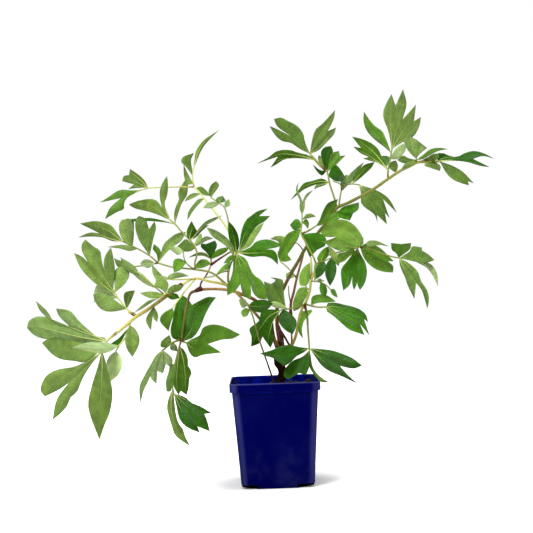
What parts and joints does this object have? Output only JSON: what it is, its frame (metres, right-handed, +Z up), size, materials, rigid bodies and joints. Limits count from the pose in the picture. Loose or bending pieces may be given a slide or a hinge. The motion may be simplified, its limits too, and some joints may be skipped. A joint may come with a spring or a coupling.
{
  "type": "potted peony plant",
  "caption": "Leafy peony with arching stems and deeply divided lobed leaves, growing from a woody crown in the soil of a tapered square plastic nursery pot",
  "frame": {"origin": "middle of the pot's underside, in the plane the pot rests on", "axes": "+Z up; the front that the picture shows faces -Y; +X to the viewer's right"},
  "size_m": [0.6701, 0.3169, 0.5897],
  "materials": {
    "pot": "smooth moulded plastic with a soft sheen",
    "soil": "loose crumbly potting soil; fabric stands in for it",
    "wood": "rough bark",
    "green_stem": "smooth living stem, matt",
    "leaf": "matt living leaf with a faint sheen; leather stands in for it"
  },
  "bodies": {
    "root": {"pot": "pot", "soil": "soil", "crown": "wood", "stem_left_arching": "green_stem", "stem_left_woody": "wood", "stem_right_green": "green_stem", "stem_right_tall": "green_stem", "stem_right_thin": "wood", "leaf_centre": "leaf", "leaf_centre_back": "leaf", "leaf_centre_left": "leaf", "leaf_centre_low": "leaf", "leaf_centre_top": "leaf", "leaf_centre_yellow": "leaf", "leaf_crest_left": "leaf", "leaf_crest_lower": "leaf", "leaf_crest_middle": "leaf", "leaf_far_left": "leaf", "leaf_far_left_lower": "leaf", "leaf_far_left_upper": "leaf", "leaf_far_right": "leaf", "leaf_far_right_inner": "leaf", "leaf_from_soil": "leaf", "leaf_left_arched": "leaf", "leaf_left_folded": "leaf", "leaf_left_hanging_pair": "leaf", "leaf_left_small": "leaf", "leaf_left_yellow_stalk": "leaf", "leaf_low_left": "leaf", "leaf_low_left_hanging": "leaf", "leaf_low_left_pale": "leaf", "leaf_mid_left": "leaf", "leaf_over_rim": "leaf", "leaf_right_far": "leaf", "leaf_right_inner": "leaf", "leaf_right_low": "leaf", "leaf_right_mid": "leaf", "leaf_right_strand": "leaf", "leaf_top_left": "leaf", "leaf_top_left_small": "leaf", "leaf_top_right": "leaf", "leaf_upper_left": "leaf"}
  },
  "joints": []
}
